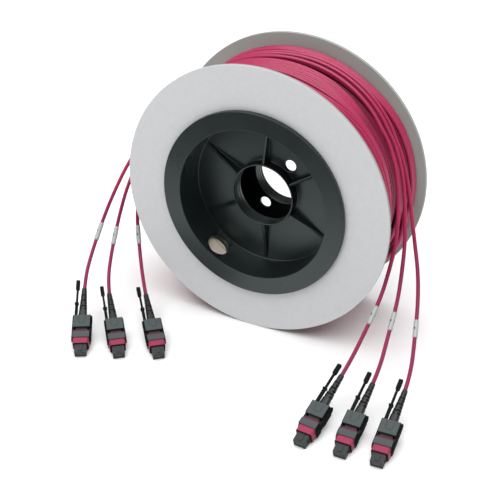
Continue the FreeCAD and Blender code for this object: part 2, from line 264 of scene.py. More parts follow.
def new_tree(name, finish, counts, sizes):
    """Node tree with these named inputs, its inputs as sockets, and the node that ends it."""
    tree = bpy.data.node_groups.new(name, "GeometryNodeTree")
    face = tree.interface
    face.new_socket("Geometry", in_out="INPUT", socket_type="NodeSocketGeometry")
    for kind, values in (("NodeSocketInt", counts), ("NodeSocketFloat", sizes)):
        for label, value in values.items():
            face.new_socket(label, in_out="INPUT", socket_type=kind).default_value = value
    face.new_socket(finish, in_out="INPUT", socket_type="NodeSocketMaterial")
    face.new_socket("Geometry", in_out="OUTPUT", socket_type="NodeSocketGeometry")
    return tree, add_node(tree, "NodeGroupInput").outputs, add_node(tree, "NodeGroupOutput")


def place_at(tree, x=0.0, y=0.0, z=0.0):
    """Place with these coordinates, each a socket or a plain number."""
    node = add_node(tree, "ShaderNodeCombineXYZ")
    for socket, value in zip(node.inputs, (x, y, z)):
        feed(tree, socket, value)
    return node.outputs[0]


def in_a_row(tree, count, first, onward, shape):
    """Copies of a shape in a straight row."""
    row = add_node(tree, "GeometryNodeMeshLine")
    wire(tree, count, row.inputs["Count"])
    wire(tree, first, row.inputs["Start Location"])
    wire(tree, onward, row.inputs["Offset"])
    placed = add_node(tree, "GeometryNodeInstanceOnPoints")
    wire(tree, row.outputs["Mesh"], placed.inputs["Points"])
    wire(tree, shape, placed.inputs["Instance"])
    return placed.outputs["Instances"]


def finish_tree(tree, geometry, material, outside):
    """Makes a tree's result real and gives it its finish."""
    real = add_node(tree, "GeometryNodeRealizeInstances")
    wire(tree, geometry, real.inputs["Geometry"])
    painted = add_node(tree, "GeometryNodeSetMaterial")
    wire(tree, real.outputs["Geometry"], painted.inputs["Geometry"])
    wire(tree, material, painted.inputs["Material"])
    wire(tree, painted.outputs["Geometry"], outside.inputs["Geometry"])


def put_in_scene(name, data):
    """Object in the scene with this mesh, curve, light or camera."""
    piece = bpy.data.objects.new(name, data)
    bpy.context.scene.collection.objects.link(piece)
    return piece


def from_tree(name, tree, **values):
    """Mesh object made by a node tree with these inputs."""
    maker = put_in_scene(name + "_maker", bpy.data.meshes.new(name + "_maker"))
    modifier = maker.modifiers.new("maker", "NODES")
    modifier.node_group = tree
    sockets = {item.name: item.identifier for item in tree.interface.items_tree if item.in_out == "INPUT"}
    for label, value in values.items():
        modifier[sockets[label.replace("_", " ")]] = value
    bpy.context.view_layer.update()
    evaluated = maker.evaluated_get(bpy.context.evaluated_depsgraph_get())
    mesh = bpy.data.meshes.new_from_object(evaluated)
    maker.modifiers.remove(modifier)
    bpy.data.objects.remove(maker)
    return put_in_scene(name, mesh)


def round_sweep(tree, curve, radius, sides):
    """Smooth round bar along a curve, closed at its ends."""
    section = add_node(tree, "GeometryNodeCurvePrimitiveCircle")
    section.inputs["Resolution"].default_value = sides
    wire(tree, radius, section.inputs["Radius"])
    bar = add_node(tree, "GeometryNodeCurveToMesh")
    bar.inputs["Fill Caps"].default_value = True
    wire(tree, curve, bar.inputs["Curve"])
    wire(tree, section.outputs["Curve"], bar.inputs["Profile Curve"])
    smooth = add_node(tree, "GeometryNodeSetShadeSmooth")
    wire(tree, bar.outputs["Mesh"], smooth.inputs["Geometry"])
    return smooth.outputs["Geometry"]


def bore_rings_tree():
    """Node tree that sets a row of round bars round the axle, one behind the other."""
    sizes = {"First": 0.0, "Pitch": 0.003, "Radius": 0.02, "Bar": 0.0004, "Axle height": 0.1}
    tree, given, outside = new_tree("bore rings", "Plastic", {"Rings": 3}, sizes)
    hoop = add_node(tree, "GeometryNodeCurvePrimitiveCircle")
    hoop.inputs["Resolution"].default_value = 96
    wire(tree, given["Radius"], hoop.inputs["Radius"])
    upright = add_node(tree, "GeometryNodeTransform")
    upright.inputs["Rotation"].default_value = (math.pi / 2, 0, 0)
    wire(tree, round_sweep(tree, hoop.outputs["Curve"], given["Bar"], sides=8), upright.inputs["Geometry"])
    first = place_at(tree, y=given["First"], z=given["Axle height"])
    onward = place_at(tree, y=given["Pitch"])
    row = in_a_row(tree, given["Rings"], first, onward, upright.outputs["Geometry"])
    finish_tree(tree, row, given["Plastic"], outside)
    return tree


bore_rings = bore_rings_tree()
for name, facing in (("front_bore_rings", 1), ("rear_bore_rings", -1)):
    rings = from_tree(
        name, bore_rings, Rings=ring_count, First=facing * (core_inner - rings_from_inner),
        Pitch=facing * ring_pitch, Radius=bore_radius + ring_sunk, Bar=ring_bar,
        Axle_height=board_radius, Plastic=core_black)
    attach(rings, "spool")

# Winding: jacketed fibre cables wound side by side on the card tube, layer over layer.
# The top layer lies in bands that drifted apart, so that deep gaps show the layers under it.
cable_radius = 0.0015
winding_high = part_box("cable_winding")[1]
winding_radius = winding_high.x
top_radius = winding_radius - cable_radius
outer_lay = winding_high.y - cable_radius
wander = 0.0004
points_per_turn = 96.0
# Shares of a turn: where the step to the next one starts, the dive at both ends, what the last lacks
step_from = 0.86
end_dive = 0.07
short_of_full = 0.15
# How deep the ends dive, in cable radii, and within which cosine from its middle a swing is full
dive_depth = 2.6
swing_full = 0.6
# The groups' turns start at angles in steps, in degrees, and each group has a seed of its own
first_seed = 3
start_angle = 200
start_step = 9
seed_stride = 7.3

jacket_tones = ((0.34, 0.025, 0.078), (0.43, 0.037, 0.110))
jacket, *_ = grained("magenta jacket", *jacket_tones, 0.30, 2600, 0.00003, gloss=0.35)
# The under layers take a darker copy of the jacket: painted shade for the deep gaps between the bands.
shade_painted_jacket, *_ = grained(
    "shaded jacket", (0.20, 0.010, 0.045), (0.27, 0.016, 0.066), 0.40, 2600, 0.00003)


def eased(tree, value, low, high):
    """Smooth rise from 0 to 1 between two values."""
    ramp = add_node(tree, "ShaderNodeMapRange", interpolation_type="SMOOTHSTEP")
    ramp.inputs["From Min"].default_value = low
    ramp.inputs["From Max"].default_value = high
    wire(tree, value, ramp.inputs["Value"])
    return ramp.outputs["Result"]


def bent_bar(tree, points, spot, radius):
    """Round bar with closed ends, whose middle runs through the places that a field gives."""
    straight = add_node(tree, "GeometryNodeCurvePrimitiveLine")
    dense = add_node(tree, "GeometryNodeResampleCurve", mode="COUNT")
    wire(tree, straight.outputs["Curve"], dense.inputs["Curve"])
    wire(tree, points, dense.inputs["Count"])
    bent = add_node(tree, "GeometryNodeSetPosition")
    wire(tree, dense.outputs["Curve"], bent.inputs["Geometry"])
    wire(tree, spot, bent.inputs["Position"])
    return round_sweep(tree, bent.outputs["Geometry"], radius, sides=10)


def wound_turns_tree():
    """Node tree that winds a cable in level turns, each with a short step to the next on the far side."""
    sizes = {
        "Turns": 10.0, "Start": 0.0, "Pitch": 0.003, "Radius": 0.1, "Axle height": 0.1,
        "Cable radius": 0.0015, "Drift": 0.0005, "Spread": 0.0, "Dip": 0.0, "Swing angle": 0.0,
        "First angle": 4.0, "Seed": 1.0}
    tree, given, outside = new_tree("wound turns", "Jacket", {}, sizes)
    along = add_node(tree, "GeometryNodeSplineParameter").outputs["Factor"]
    turn = reckon(tree, "MULTIPLY", along, given["Turns"])
    angle = reckon(tree, "MULTIPLY_ADD", turn, math.tau, given["First angle"])

    def drift(offset):
        """Slow wander of the cable, to one side and the other."""
        place = reckon(tree, "ADD", turn, reckon(tree, "MULTIPLY_ADD", given["Seed"], seed_stride, offset))
        noise = add_node(tree, "ShaderNodeTexNoise", noise_dimensions="1D")
        noise.inputs["Scale"].default_value = 2.3
        noise.inputs["Detail"].default_value = 1.0
        wire(tree, place, noise.inputs["W"])
        return reckon(tree, "MULTIPLY", reckon(tree, "SUBTRACT", noise.outputs["Fac"], 0.5), given["Drift"])

    step = eased(tree, reckon(tree, "FRACT", turn), step_from, 1.0)
    lay = reckon(tree, "ADD", reckon(tree, "FLOOR", turn), step)
    lay = reckon(tree, "MULTIPLY_ADD", lay, given["Pitch"], given["Start"])
    facing = reckon(tree, "COSINE", reckon(tree, "SUBTRACT", angle, given["Swing angle"]))
    swing = eased(tree, facing, 0.0, swing_full)
    fanned = reckon(tree, "MULTIPLY", along, reckon(tree, "MULTIPLY", swing, given["Spread"]))
    lay = reckon(tree, "ADD", reckon(tree, "ADD", lay, fanned), drift(0.0))
    left = reckon(tree, "SUBTRACT", given["Turns"], turn)
    proud = reckon(tree, "MULTIPLY", eased(tree, turn, 0.0, end_dive), eased(tree, left, 0.0, end_dive))
    sunk = reckon(tree, "MULTIPLY", reckon(tree, "SUBTRACT", 1.0, proud), given["Cable radius"])
    lift_drift = reckon(tree, "MULTIPLY", drift(40.0), 0.5)
    lift = reckon(tree, "MULTIPLY_ADD", sunk, -dive_depth, lift_drift)
    lift = reckon(tree, "SUBTRACT", lift, reckon(tree, "MULTIPLY", swing, given["Dip"]))
    radius = reckon(tree, "ADD", given["Radius"], lift)
    across = reckon(tree, "MULTIPLY", radius, reckon(tree, "COSINE", angle))
    rise = reckon(tree, "MULTIPLY_ADD", radius, reckon(tree, "SINE", angle), given["Axle height"])
    points = reckon(tree, "MULTIPLY", given["Turns"], points_per_turn)
    cable = bent_bar(tree, points, place_at(tree, across, lay, rise), given["Cable radius"])
    finish_tree(tree, cable, given["Jacket"], outside)
    return tree


wound_turns = wound_turns_tree()
right_side = math.radians(-20)
top_side = math.radians(62)
low_side = math.radians(-30)
under_side = math.radians(-85)
# Groups lying in the gaps, which take the darker jacket of painted shade
shade_painted_groups = ("under_layer", "second_front", "second_rear", "rear_second")
# Each group of turns: number, first and last lay, depth under the top, spread, dip, where they swing
turn_groups = {
    "under_layer": (25, -outer_lay, outer_lay, 0.0060, 0.0, 0.0, 0.0),
    "second_front": (5, -0.0352, -0.0230, 0.0031, 0.0080, 0.0, right_side),
    "second_rear": (7, -0.0150, 0.0046, 0.0031, 0.0, 0.0, 0.0),
    "front_band": (7, -outer_lay, -0.0190, 0.0, 0.0085, 0.0, right_side),
    "sinking_band": (3, -0.0070, -0.0135, 0.0, 0.0075, 0.0012, right_side),
    "middle_band": (4, -0.0037, 0.0056, 0.0, 0.0, 0.0042, right_side),
    "crossed_band": (4, 0.0189, 0.0282, 0.0, 0.0, 0.0028, top_side),
    "rear_second": (3, 0.0306, outer_lay, 0.0031, 0.0, -0.0030, low_side),
    "rear_band": (3, 0.0306, outer_lay, 0.0, 0.0, -0.0030, low_side),
    "slack_band": (4, 0.0262, 0.0360, 0.0031, 0.0, -0.0105, under_side),
}
for seed, (group, plan) in enumerate(turn_groups.items(), first_seed):
    count, first, last, depth, spread, dip, swing = plan
    piece = from_tree(
        group, wound_turns, Turns=count - short_of_full, Start=first, Pitch=(last - first) / (count - 1),
        Radius=top_radius - depth, Axle_height=board_radius, Cable_radius=cable_radius, Drift=wander,
        Spread=spread, Dip=dip, Swing_angle=swing, First_angle=math.radians(start_angle + start_step * seed),
        Seed=float(seed), Jacket=shade_painted_jacket if group in shade_painted_groups else jacket)
    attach(piece, "spool")
    if group == "under_layer":
        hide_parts("cable_winding")

# Cable legs: the ends of the wound cables, which leave the winding and hang down to their plugs.
# Each is a round magenta jacket over loose fibre and aramid yarn, held in the plug's boot by a crimp.
tip_half_height = 0.00305
boot_back = 0.0647
straight_tail = 0.012
tail_run = 0.021
# Heights where the legs' painted shade starts and where it is full, darker towards the floor
leg_shade_from = 0.110
leg_shade_to = 0.060
# A leg leaves over this many degrees on each side, with these heights over the winding and step sideways
leaving_turn = 4
laid_over = 0.0012
leaving_over = 0.0020
leaving_step = 0.0004
# Each end: nose tip on the floor, heading and slope of its plug, where its leg leaves the winding
# (angle and lay), the leg's next points on the winding, and its free points
ends = {
    "left_1": ((-0.0986, -0.1420), -60.3, 19.5, (143, -0.005), [],
               [(-0.106, -0.005, 0.142), (-0.129, -0.010, 0.108), (-0.139, -0.022, 0.081),
                (-0.142, -0.038, 0.060), (-0.140, -0.060, 0.040)]),
    "left_2": ((-0.0707, -0.1301), -50.8, 16.0, (148, -0.012), [],
               [(-0.109, -0.013, 0.130), (-0.127, -0.016, 0.092),
                (-0.131, -0.027, 0.067), (-0.127, -0.050, 0.040)]),
    "left_3": ((-0.0427, -0.1171), -49.8, 16.1, (157, -0.024), [],
               [(-0.108, -0.024, 0.112), (-0.115, -0.027, 0.072), (-0.106, -0.040, 0.045)]),
    "right_1": ((0.0961, -0.1619), -95.2, 17.9, (32, 0.0092), [(13, 0.0030)],
                [(0.106, -0.010, 0.093), (0.1065, -0.024, 0.073),
                 (0.1065, -0.040, 0.056), (0.1045, -0.061, 0.041)]),
    "right_2": ((0.1250, -0.1599), -89.7, 16.8, (29, 0.0170), [(10, 0.0130)],
                [(0.1095, -0.001, 0.089), (0.114, -0.017, 0.069),
                 (0.118, -0.035, 0.052), (0.1205, -0.059, 0.0375)]),
    "right_3": ((0.1509, -0.1574), -87.4, 16.9, (24, 0.0220), [(5, 0.0220)],
                [(0.114, 0.008, 0.082), (0.123, -0.006, 0.0655),
                 (0.1305, -0.024, 0.0515), (0.138, -0.049, 0.0385)]),
}


def leg_material():
    """The jacket of the winding, duller, and darker down the leg towards the floor as painted shade."""
    material, tree, shader, upper_tone = grained(
        "leg jacket with painted shade", *jacket_tones, 0.36, 2600, 0.00003, gloss=0.14)
    # Painted shade: the jacket darkens down the leg, towards the floor.
    leg_shade = eased(tree, axes_of(tree)["Z"], leg_shade_from, leg_shade_to)
    wire(tree, blend(tree, leg_shade, upper_tone, (0.220, 0.017, 0.064)), shader.inputs["Base Color"])
    return material


leg_jacket = leg_material()


def plug_place(tip, heading, slope):
    """Matrix from a plug's own frame, nose tip at the origin along +X, to its place on the floor."""
    height = tip_half_height * math.cos(math.radians(slope))
    turn = Matrix.Rotation(math.radians(heading), 4, "Z") @ Matrix.Rotation(math.radians(slope), 4, "Y")
    return Matrix.Translation((*tip, height)) @ turn


def on_winding(angle, lay, radius):
    turn = math.radians(angle)
    return Vector((radius * math.cos(turn), lay, board_radius + radius * math.sin(turn)))


def round_bar(name, points, radius, material):
    """Round bar on one smooth line with these control points."""
    curve = bpy.data.curves.new(name, "CURVE")
    curve.dimensions = "3D"
    curve.bevel_depth = radius
    curve.bevel_resolution = 4
    curve.resolution_u = 16
    curve.use_fill_caps = True
    line = curve.splines.new("NURBS")
    line.points.add(len(points) - 1)
    for control, point in zip(line.points, points):
        control.co = (*point, 1)
    line.order_u = 3
    line.use_endpoint_u = True
    curve.materials.append(material)
    return put_in_scene(name, curve)


def line_points(cable):
    """Points along a cable's middle, read from its curve without the jacket."""
    bare = cable.data.copy()
    bare.bevel_depth = 0
    reader = put_in_scene("reader", bare)
    bpy.context.view_layer.update()
    mesh = bpy.data.meshes.new_from_object(reader.evaluated_get(bpy.context.evaluated_depsgraph_get()))
    points = [vertex.co.copy() for vertex in mesh.vertices]
    bpy.data.objects.remove(reader)
    bpy.data.meshes.remove(mesh)
    return points


def length_of(points):
    return sum((b - a).length for a, b in zip(points, points[1:]))


cables = {}
places = {}
joins = {}
for end, (tip, heading, slope, (angle, lay), wound, free) in ends.items():
    places[end] = plug_place(tip, heading, slope)
    onward = leaving_turn if end.startswith("left") else -leaving_turn
    last_laid = on_winding(angle - onward, lay + leaving_step, top_radius + laid_over)
    first_free = on_winding(angle + onward, lay - leaving_step, top_radius + leaving_over)
    joins[end] = (last_laid, (last_laid + first_free) / 2)
    route = [joins[end][1], first_free]
    route += [on_winding(further, y, winding_radius + leaving_over) for further, y in wound]
    route += [Vector(point) for point in free]
    for station in (boot_back + straight_tail, boot_back + straight_tail - tail_run):
        route.append(places[end] @ Vector((-station, 0, 0)))
    cables[end] = round_bar(end + "_cable", route, cable_radius, leg_jacket)
    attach(cables[end], "spool")
    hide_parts(end + "_leg")

# Last turns: the top turn of each cable, laid proud over the bands until its leg leaves.
# On the right they bow across the deep gap and dive into it; on the left they come up out of the bands.
# Angles are in degrees
bow_top = 62
bow_step = 5.4
bow_steps = 54
bow_run = bow_step * bow_steps
proud_run = 60
proud_more = 0.0006
gap_dive_run = 30
gap_dive_depth = 0.0082
rise_run = 18
rise_steps = 8
rise_depth = 0.0042
rise_drift = 0.0001
# Each right turn: lay at its bow's top, depth of the bow towards its leg, lay behind, reach of the bow
bows = {
    "right_1": (0.0135, 0.032, 0.0095, 36),
    "right_2": (0.0210, 0.023, 0.0126, 45),
    "right_3": (0.0260, 0.019, 0.0157, 50),
}


def bowed_lay(angle, top, depth, behind, reach):
    """Lay of a right turn at this angle of the winding."""
    away = angle - bow_top
    if away < 0:
        return top - depth * (1 - math.cos(math.radians(away)))
    return behind + (top - behind) * math.exp(-(away / reach) ** 2)


def eased_between(value, low, high):
    """Smooth rise from 0 to 1 between two plain numbers."""
    share = min(1, max(0, (value - low) / (high - low)))
    return share * share * (3 - 2 * share)


def sunk_by(left, run, depth):
    """How far a turn lies under the top where it has this many degrees left to its buried end."""
    return depth * (1 - eased_between(left, 0, run))


def right_turn(angle, bow):
    """Points of a right turn, from its leg back over the winding to its buried end."""
    points = []
    for step in range(1, bow_steps + 1):
        gone = bow_step * step
        lift = laid_over + proud_more * math.sin(math.pi * min(1, gone / proud_run))
        lift *= min(1, max(0, 2 - gone / proud_run))
        radius = top_radius + lift - sunk_by(bow_run - gone, gap_dive_run, gap_dive_depth)
        further = angle + leaving_turn + gone
        points.append(on_winding(further, bowed_lay(further, *bow), radius))
    return points


def left_turn(angle, lay):
    """Points of a left turn, from its leg back to its buried end."""
    points = []
    for step in range(1, rise_steps + 1):
        gone = rise_run * step / rise_steps
        radius = top_radius + laid_over - sunk_by(rise_run - gone, rise_run, rise_depth)
        points.append(on_winding(angle - leaving_turn - gone, lay + leaving_step + rise_drift * step, radius))
    return points


for end, (_, _, _, (angle, lay), _, _) in ends.items():
    laid = right_turn(angle, bows[end]) if end in bows else left_turn(angle, lay)
    turn_piece = round_bar(end + "_last_turn", laid[::-1] + list(joins[end]), cable_radius, jacket)
    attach(turn_piece, "spool")

# Marker sleeves: short white shrink tubes on each leg, printed with plain bars and ticks.
# They are slid on before the plug is fitted, and shrunk a hand's breadth behind it.
sleeve_length = 0.0155
sleeve_from_boot = 0.054
sleeve_radius = 0.0019
sleeve_tuck = 0.00025
sleeve_rings = 15
sleeve_sides = 20
# Print round the sleeve: rows, ticks in a row, and the middle and half size of what is printed,
# in shares of the sleeve's length and of a row's height
print_rows = 3.0
ticks_in_row = 24.0
tick_share = 0.45
tick_along = (0.5, 0.36)
tick_across = (0.5, 0.07)
bar_along = (0.48, 0.06)
bar_across = (0.5, 0.16)


def within(tree, value, middle, half):
    """Mask of where a value lies within this much of a middle one."""
    off = reckon(tree, "ABSOLUTE", reckon(tree, "SUBTRACT", value, middle))
    return reckon(tree, "LESS_THAN", off, half)


def sleeve_material():
    """White shrink tube, with bars and rows of small ticks printed round it."""
    material, tree, shader, white = grained(
        "white sleeve", (0.30, 0.315, 0.315), (0.36, 0.378, 0.378), 0.42, 2000, 0.00003)
    axes = axes_of(tree, "UV")
    along = axes["X"]
    row = reckon(tree, "FRACT", reckon(tree, "MULTIPLY", axes["Y"], print_rows))
    bars = reckon(tree, "MULTIPLY", within(tree, along, *bar_along), within(tree, row, *bar_across))
    in_tick = reckon(tree, "FRACT", reckon(tree, "MULTIPLY", along, ticks_in_row))
    ticks = reckon(tree, "LESS_THAN", in_tick, tick_share)
    ticks = reckon(tree, "MULTIPLY", ticks, within(tree, row, *tick_across))
    ticks = reckon(tree, "MULTIPLY", ticks, within(tree, along, *tick_along))
    printed = blend(tree, ticks, white, (0.30, 0.31, 0.31))
    wire(tree, blend(tree, bars, printed, (0.035, 0.037, 0.037)), shader.inputs["Base Color"])
    return material


white_sleeve = sleeve_material()


def round_section(sides, radius):
    """Points of a round section, across and up."""
    turns = [math.tau * k / sides for k in range(sides)]
    return [(radius * math.cos(turn), radius * math.sin(turn)) for turn in turns]


def stations_along(points, start, end, count):
    """Evenly spaced places on a line of points, each with the line's direction there."""
    found = []
    for i in range(count):
        left = start + (end - start) * i / (count - 1)
        for a, b in zip(points, points[1:]):
            run = (b - a).length
            if left <= run:
                break
            left -= run
        found.append((a + (b - a) * (left / run), (b - a).normalized()))
    return found


def from_faces(name, mesh, material):
    """Object made of a mesh under work, with its faces turned outwards."""
    bmesh.ops.recalc_face_normals(mesh, faces=mesh.faces)
    data = bpy.data.meshes.new(name)
    mesh.to_mesh(data)
    mesh.free()
    data.materials.append(material)
    return put_in_scene(name, data)


def closed_tube(name, rings, material):
    """Mesh skin over rings of points, closed at both ends, with a UV map along and round it."""
    mesh = bmesh.new()
    loops = [[mesh.verts.new(point) for point in ring] for ring in rings]
    uv = mesh.loops.layers.uv.new("UVMap")
    sides = len(rings[0])
    for i, (ring, after) in enumerate(zip(loops, loops[1:])):
        for j in range(sides):
            face = mesh.faces.new((ring[j], ring[(j + 1) % sides], after[(j + 1) % sides], after[j]))
            face.smooth = True
            corners = ((i, j), (i, j + 1), (i + 1, j + 1), (i + 1, j))
            for loop, (u, v) in zip(face.loops, corners):
                loop[uv].uv = (u / (len(rings) - 1), v / sides)
    mesh.faces.new(loops[0][::-1])
    mesh.faces.new(loops[-1])
    return from_faces(name, mesh, material)


legs = {end: line_points(cable) for end, cable in cables.items()}
sleeves = {}
for end, points in legs.items():
    inside_boot = (points[-1] - places[end] @ Vector((-boot_back, 0, 0))).length
    middle = length_of(points) - inside_boot - sleeve_from_boot
    stations = stations_along(points, middle - sleeve_length / 2, middle + sleeve_length / 2, sleeve_rings)
    rings = []
    for i, (spot, along) in enumerate(stations):
        across = along.cross(Vector((0, 0, 1))).normalized()
        up = across.cross(along)
        radius = sleeve_radius - sleeve_tuck if i in (0, sleeve_rings - 1) else sleeve_radius
        rings.append([spot + across * y + up * z for y, z in round_section(sleeve_sides, radius)])
    sleeves[end] = closed_tube(end + "_sleeve", rings, white_sleeve)
    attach(sleeves[end], "spool")
    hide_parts(end + "_marker")

# Boots: soft black strain reliefs moulded over the crimp, squarish at the clip and round at the cable.
# Slots cut crosswise on alternate sides let them bend; each stays on its plug's back post.
boot_front = 0.030
taper_front = 0.035
base_half = (0.0035, 0.0029)
end_half = 0.00195
end_rounding = 0.0003
mouth_radius = 0.0016
mouth_depth = 0.003
boot_sides = 32
boot_steps = 110
# Powers of the section's rounded square, and how fast it grows round along the taper
square_power = 3.6
round_power = 2.1
rounding_rate = 1.6
slot_count = 7
slot_pitch = 0.0028
slot_length = 0.0015
slot_depth = 0.0009
slot_floor = 0.0003
slots_from = 0.0420
first_slot = slots_from + slot_length / 2
# Where a slot's wall starts and tops out, in slot lengths from its middle, and where it runs out
# round the boot, as a cosine
slot_wall = (0.35, 0.5)
slot_end = (0.35, 0.55)


def dull_where(tree, shader, mask, more):
    """Adds to a material's uneven roughness where a mask says."""
    uneven = shader.inputs["Roughness"].links[0].from_socket
    wire(tree, reckon(tree, "MULTIPLY_ADD", mask, more, uneven), shader.inputs["Roughness"])


def boot_material():
    """Soft black, darker in the slots as painted shade, and duller there."""
    material, tree, shader, black = grained(
        "soft boot", (0.008, 0.0095, 0.0095), (0.012, 0.014, 0.014), 0.34, 5000, 0.00004, gloss=0.34)
    slot_shade = add_node(tree, "ShaderNodeAttribute", attribute_name="slot depth").outputs["Fac"]
    # Painted shade: the slots' depth darkens the colour towards black.
    wire(tree, blend(tree, slot_shade, black, (0.001, 0.001, 0.001)), shader.inputs["Base Color"])
    dull_where(tree, shader, slot_shade, more=0.6)
    return material


def boot_ring(station):
    """Section of the boot at this station, and how deep in a slot each of its points lies, as a share."""
    share = min(1, max(0, (station - taper_front) / (boot_back - taper_front)))
    half_width, half_height = [half + (end_half - half) * share for half in base_half]
    power = square_power - (square_power - round_power) * min(1, rounding_rate * share)
    number = round((station - first_slot) / slot_pitch)
    cut = 0.0
    if 0 <= number < slot_count:
        off = abs(station - first_slot - number * slot_pitch)
        cut = min(slot_depth, min(half_width, half_height) - cable_radius - slot_floor)
        cut *= 1 - eased_between(off / slot_length, *slot_wall)
    rounded = end_rounding * (1 - eased_between(boot_back - station, 0, 2 * end_rounding))
    ring, depths = [], []
    for k in range(boot_sides):
        turn = math.tau * k / boot_sides
        c, s = math.cos(turn), math.sin(turn)
        reach = (abs(c) ** power + abs(s) ** power) ** (-1 / power)
        slot = cut * eased_between(abs(s) if number % 2 else abs(c), *slot_end)
        y = (half_width - slot - rounded) * c * reach
        z = (half_height - slot - rounded) * s * reach
        ring.append(Vector((-station, y, z)))
        depths.append(min(1, 2 * slot / slot_depth))
    return ring, depths


boot_black = boot_material()
boot_stations = [boot_front]
boot_stations += [taper_front + (boot_back - taper_front) * i / boot_steps for i in range(boot_steps + 1)]
boot_sections = [boot_ring(station) for station in boot_stations]
boot_rings = [ring for ring, depths in boot_sections]
for station in (boot_back, boot_back - mouth_depth):
    boot_rings.append([Vector((-station, y, z)) for y, z in round_section(boot_sides, mouth_radius)])
slot_depths = [depth for ring, depths in boot_sections for depth in depths]
slot_depths += [0.0] * 2 * boot_sides
boots = {}
for end, place in places.items():
    rings = [[place @ point for point in ring] for ring in boot_rings]
    boots[end] = closed_tube(end + "_soft_boot", rings, boot_black)
    # Slot depth for each point, which the boot's material turns into painted shade
    boots[end].data.attributes.new("slot depth", "FLOAT", "POINT").data.foreach_set("value", slot_depths)
    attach(boots[end], "spool")
    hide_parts(end + "_boot")

# Plugs: push-pull multi-fibre plugs. A dark moulded housing carries the sprung fibre block, and a back post
# closes it. A magenta sleeve slides on it, and a dark clip with a pull tab is snapped round the sleeve.
slide_front = 0.0074
# Depth of the painted shade in the sleeve's mouth
slide_mouth = 0.0005
bar_back = 0.0185
clip_back = 0.0341
tab_gap = 0.0002
rail_inner = 0.0065
housing_dark, *_ = grained(
    "dark housing", (0.033, 0.037, 0.038), (0.044, 0.049, 0.050), 0.42, 6000, 0.00003, gloss=0.08)
post_dark, *_ = grained(
    "dark post", (0.012, 0.014, 0.014), (0.018, 0.020, 0.020), 0.45, 6000, 0.00003)
block_black, *_ = grained(
    "filled black resin", (0.010, 0.010, 0.011), (0.018, 0.018, 0.019), 0.32, 9000, 0.00001)


def own_axes(tree, place):
    """Coordinates in a plug's own frame: along its axis, across it and up."""
    coords = add_node(tree, "ShaderNodeTexCoord")
    own = add_node(tree, "ShaderNodeMapping", vector_type="TEXTURE")
    own.inputs["Location"].default_value = place.to_translation()
    own.inputs["Rotation"].default_value = place.to_euler()
    split = add_node(tree, "ShaderNodeSeparateXYZ")
    wire(tree, coords.outputs["Object"], own.inputs["Vector"])
    wire(tree, own.outputs["Vector"], split.inputs[0])
    return split.outputs


def slide_material(end, place):
    """Magenta sleeve, with painted shade in its mouth and a painted shadow where it runs under the clip."""
    material, tree, shader, bright = grained(
        end + " slide", (0.235, 0.030, 0.064), (0.295, 0.043, 0.092), 0.40, 6000, 0.00002, gloss=0.08)
    along = own_axes(tree, place)["X"]
    # Painted shade in the mouth, and the clip's painted shadow on the sleeve behind its bar
    mouth_shade = reckon(tree, "GREATER_THAN", along, -slide_front - slide_mouth)
    clip_shadow = reckon(tree, "LESS_THAN", along, -bar_back)
    tone = blend(tree, mouth_shade, bright, (0.040, 0.004, 0.010))
    wire(tree, blend(tree, clip_shadow, tone, (0.110, 0.018, 0.036)), shader.inputs["Base Color"])
    return material


def clip_material(end, place):
    """Dark satin clip, whose side rails and pull tab are painted near black as painted shade, and left
    duller.
    """
    material, tree, shader, satin = grained(
        end + " clip", (0.057, 0.067, 0.068), (0.070, 0.082, 0.083), 0.42, 6000, 0.00003, gloss=0.08)
    axes = own_axes(tree, place)
    on_tab = reckon(tree, "LESS_THAN", axes["X"], -clip_back - tab_gap)
    on_rail = reckon(tree, "GREATER_THAN", reckon(tree, "ABSOLUTE", axes["Y"]), rail_inner)
    dull = reckon(tree, "MAXIMUM", on_tab, on_rail)
    # Painted shade: the side rails and pull tab take a near-black tone.
    wire(tree, blend(tree, dull, satin, (0.007, 0.009, 0.009)), shader.inputs["Base Color"])
    dull_where(tree, shader, dull, more=0.5)
    return material


clips = {}
for end, place in places.items():
    clips[end] = clip_material(end, place)
    # Each piece: finish and rounding of its edges
    finishes = {
        "plug_housing": (housing_dark, 0.0007),
        "coupling_sleeve": (slide_material(end, place), 0.0003),
        "pull_clip": (clips[end], 0.0003),
        "ferrule": (block_black, 0.0001),
        "back_post": (post_dark, 0.0002),
    }
    for piece, (material, edge) in finishes.items():
        dress(f"{end}_{piece}", material)
        soften(f"{end}_{piece}", edge)

# Clip lips and finger marks: the full length of the clip's bar and block round the sleeve,
# and a bowed bead on the clip's top that shows where to press. All are moulded with the dark clip.
bar_front = 0.01305
block_front = 0.0229
block_lip_back = 0.0245
lip_outer = (0.00693, 0.00558)
lip_inner = (0.0063, 0.0047)
lip_rounding = 0.0003
clip_top = 0.00555
mark_bar = 0.0006
mark_sunk = 0.0002
mark_front = (-0.0262, 0)
mark_side = [(-0.0272, 0.0024), (-0.0298, 0.0028), (-0.0322, 0.0026)]
mark_bow = [(x, -y) for x, y in mark_side[::-1]] + [mark_front] + mark_side


def add_band(mesh, place, front, back):
    """Adds a closed rectangular band, round a plug's axis, to a mesh under work."""
    loops = []
    for station, half in ((front, lip_outer), (back, lip_outer), (back, lip_inner), (front, lip_inner)):
        corners = [(half[0] * y, half[1] * z) for y, z in ((1, 1), (-1, 1), (-1, -1), (1, -1))]
        loops.append([mesh.verts.new(place @ Vector((-station, y, z))) for y, z in corners])
    for loop, after in zip(loops, loops[1:] + loops[:1]):
        for j in range(4):
            mesh.faces.new((loop[j], loop[(j + 1) % 4], after[(j + 1) % 4], after[j]))


